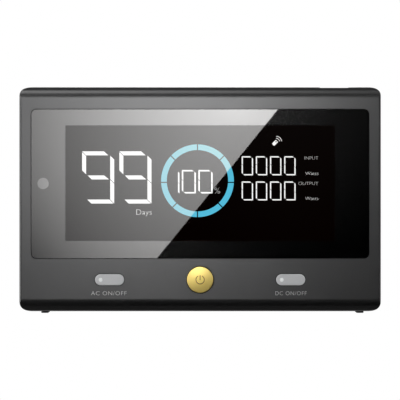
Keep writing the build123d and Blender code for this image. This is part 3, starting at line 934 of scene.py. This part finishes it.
def on_card(x, z):
    """The point of the card that the camera sees mirrored at (x, z) mm of the front, z from the feet."""
    return Vector((x * MM * spread_out, card_y, object_middle.z + (z * MM - object_middle.z) * spread_out))


edge_high = on_card(35.6, 93.1)
edge_low = on_card(-19.72, 25.0)
edge_run = (edge_high - edge_low).normalized()
card_top = edge_high + edge_run * CARD_TOP_RISE
card_knee = edge_high + edge_run * CARD_KNEE_RISE
card_foot = edge_low - edge_run * CARD_FOOT_DROP

stage_sheet(
    "main_card",
    [
        card_foot,
        card_knee,
        Vector((card_knee.x, card_y, card_top.z)),
        Vector((-CARD_SIDE, card_y, card_top.z)),
        Vector((-CARD_SIDE, card_y, card_foot.z)),
    ],
    falling_light("main_card_light", spot=on_card(17.3, 99.7), peak=6.51, fall=45.7),
)
stage_sheet(
    "side_card",
    [
        (SIDE_CARD_LEFT, card_y, SIDE_CARD_BOTTOM),
        (SIDE_CARD_RIGHT, card_y, SIDE_CARD_BOTTOM),
        (SIDE_CARD_RIGHT, card_y, SIDE_CARD_TOP),
        (SIDE_CARD_LEFT, card_y, SIDE_CARD_TOP),
    ],
    emitter("side_card_light", strength=2.0)[0],
)
stage_sheet(
    "faint_card",
    [
        card_top,
        card_foot,
        Vector((CARD_SIDE, card_y, card_foot.z)),
        Vector((CARD_SIDE, card_y, card_top.z)),
    ],
    falling_light("faint_card_light", spot=on_card(38.0, 100.0), peak=0.04, fall=0.5),
)

# Name, place, the point it is aimed at, size in metres and power in watts
SOFTBOXES = (
    ("overhead", (-0.13, -0.22, 0.62), (-0.13, 0.0, 0.05), (0.34, 0.34), 0.6),
    ("upper_left", (-0.25, -0.38, 0.40), (0.0, 0.0, 0.1), (0.4, 0.15), 0.06),
    ("left_strip", (-0.6, -0.12, 0.12), (0.0, 0.0, 0.05), (0.25, 0.6), 1.4),
    ("right_strip", (0.6, -0.12, 0.12), (0.0, 0.0, 0.05), (0.25, 0.6), 0.35),
    ("back_fill", (0.25, 0.8, 0.25), (0.0, 0.0, 0.05), (0.7, 0.3), 2.5),
)
for box_name, location, aim, size, power in SOFTBOXES:
    softbox(box_name, location, aim, size, power)


# Light from the ground under and behind the panel, dim in front and brighter further back. Each row
# holds a name, the near and far edge, and the strength.
UNDER_LIGHTS = (
    ("under_front", -0.0175, -0.0125, 0.05),
    ("under_back", -0.0125, 0.5, 0.35),
)
UNDER_HALF_WIDTH = 0.4
UNDER_HEIGHT = 0.2 * MM
for sheet_name, near, far, strength in UNDER_LIGHTS:
    stage_sheet(
        sheet_name,
        level_corners(UNDER_HALF_WIDTH, near, far, UNDER_HEIGHT),
        emitter(sheet_name + "_light", strength=strength)[0],
    )


FLOOR_REACH = 6.0


def make_floor():
    """Plain white floor. It gives no light to the panel, whose underside stays dark."""
    floor = stage_sheet(
        "floor",
        level_corners(FLOOR_REACH, -FLOOR_REACH, FLOOR_REACH, 0.0),
        emitter("floor_white")[0],
        seen_by_camera=True,
    )
    floor.visible_diffuse = False
    floor.visible_glossy = False
    floor.visible_transmission = False


make_floor()


# Where the room's light starts and stops growing, as parts of a direction of length 1, and its strength
ROOM_RISE = (-0.3, 0.6)
ROOM_RISE_LIGHT = (0.005, 0.05)
ROOM_BEHIND = (0.15, 0.8)
ROOM_BEHIND_LIGHT = (0.0, 0.12)


def make_world():
    """White to the camera. Reflections see a dim room, lighter above and behind the panel."""
    world = bpy.data.worlds.new("studio")
    scene.world = world
    world.use_nodes = True
    tree = world.node_tree
    tree.nodes.clear()
    seen = tree.nodes.new("ShaderNodeBackground")
    seen.inputs["Strength"].default_value = 1.0
    seen.inputs["Color"].default_value = WHITE
    room = tree.nodes.new("ShaderNodeBackground")
    room.inputs["Color"].default_value = WHITE
    place = tree.nodes.new("ShaderNodeTexCoord")
    direction = tree.nodes.new("ShaderNodeSeparateXYZ")
    tree.links.new(place.outputs["Generated"], direction.inputs["Vector"])
    total = tree.nodes.new("ShaderNodeMath")
    total.operation = "ADD"
    tree.links.new(remap(tree, direction.outputs["Z"], ROOM_RISE, ROOM_RISE_LIGHT), total.inputs[0])
    tree.links.new(remap(tree, direction.outputs["Y"], ROOM_BEHIND, ROOM_BEHIND_LIGHT), total.inputs[1])
    tree.links.new(total.outputs["Value"], room.inputs["Strength"])
    rays = tree.nodes.new("ShaderNodeLightPath")
    mix = tree.nodes.new("ShaderNodeMixShader")
    tree.links.new(rays.outputs["Is Camera Ray"], mix.inputs["Fac"])
    tree.links.new(room.outputs["Background"], mix.inputs[1])
    tree.links.new(seen.outputs["Background"], mix.inputs[2])
    output = tree.nodes.new("ShaderNodeOutputWorld")
    tree.links.new(mix.outputs["Shader"], output.inputs["Surface"])


make_world()
